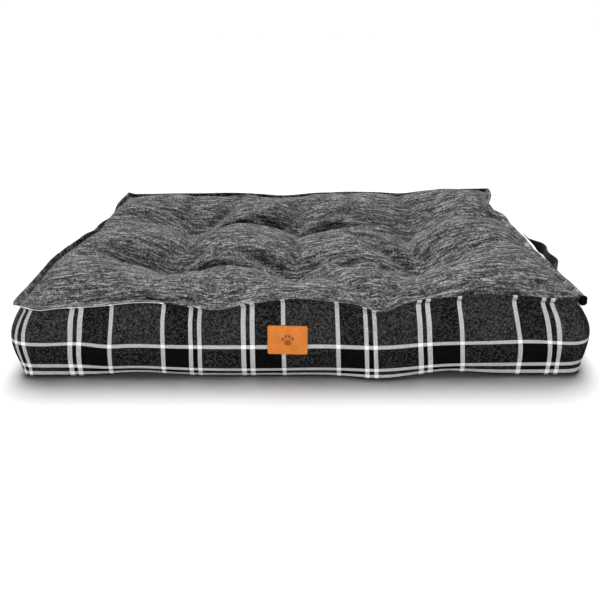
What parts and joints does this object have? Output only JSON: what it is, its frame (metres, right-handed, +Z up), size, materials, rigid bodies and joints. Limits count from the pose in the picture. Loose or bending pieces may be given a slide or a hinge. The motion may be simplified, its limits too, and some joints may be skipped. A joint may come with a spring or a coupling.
{
  "type": "pet cushion bed",
  "caption": "Rectangular tufted pet cushion bed with a plaid boxing, crowned melange top, rear zip and a webbing side handle.",
  "frame": {"origin": "centre of the flat underside, on the surface the cushion lies on", "axes": "+X along the long side towards the side with the handle, -Y towards the front with the leather patch, +Z up"},
  "size_m": [0.8208, 0.6066, 0.1375],
  "materials": {
    "melange_cloth": "matte melange weave",
    "plaid_cloth": "matte plaid weave with white stripes",
    "base_cloth": "matte close weave",
    "polyester_fibre": "loose fibre",
    "tan_leather": "semi-matte embossed leather",
    "black_twine": "waxed twine",
    "dark_felt": "pressed felt",
    "zip_tape_cloth": "herringbone tape",
    "zip_nylon": "nylon coil",
    "zip_metal": "gunmetal plating",
    "webbing": "ribbed polypropylene webbing"
  },
  "bodies": {
    "cushion": {"fibre_fill": "polyester_fibre", "top_panel": "melange_cloth", "bottom_panel": "base_cloth", "gusset_front": "plaid_cloth", "gusset_left": "plaid_cloth", "gusset_right": "plaid_cloth", "gusset_back_upper": "plaid_cloth", "gusset_back_lower": "plaid_cloth", "top_flange_front": "plaid_cloth", "top_flange_back": "plaid_cloth", "top_flange_left": "plaid_cloth", "top_flange_right": "plaid_cloth", "tuft_tie_1": "black_twine", "tuft_tie_2": "black_twine", "tuft_tie_3": "black_twine", "tuft_tie_4": "black_twine", "tuft_tie_5": "black_twine", "tuft_tie_6": "black_twine", "tuft_washer_1": "dark_felt", "tuft_washer_2": "dark_felt", "tuft_washer_3": "dark_felt", "tuft_washer_4": "dark_felt", "tuft_washer_5": "dark_felt", "tuft_washer_6": "dark_felt", "label_patch": "tan_leather", "zip_tape_upper": "zip_tape_cloth", "zip_tape_lower": "zip_tape_cloth", "zip_coil_upper": "zip_nylon", "zip_coil_lower": "zip_nylon", "zip_top_stop_upper": "zip_metal", "zip_top_stop_lower": "zip_metal", "zip_bottom_stop": "zip_metal", "handle_end_front": "webbing", "handle_end_back": "webbing"},
    "slider": {"zip_slider": "zip_metal"},
    "pull_tab": {"zip_pull": "zip_metal"},
    "grip": {"side_handle": "webbing"}
  },
  "joints": [
    {"name": "zip_travel", "type": "slide", "parent": "cushion", "child": "slider", "axis": [1, 0, 0], "range_m": [-0.47, 0]},
    {"name": "pull_tab_turn", "type": "hinge", "parent": "slider", "child": "pull_tab", "pos_m": [0.232, 0.3015, 0.06], "axis": [0, 0, -1], "range_deg": [0, 180]},
    {"name": "handle_swing", "type": "hinge", "parent": "cushion", "child": "grip", "pos_m": [0.403, -0.05, 0.089], "axis": [0, -1, 0], "range_deg": [-45, 45]}
  ]
}
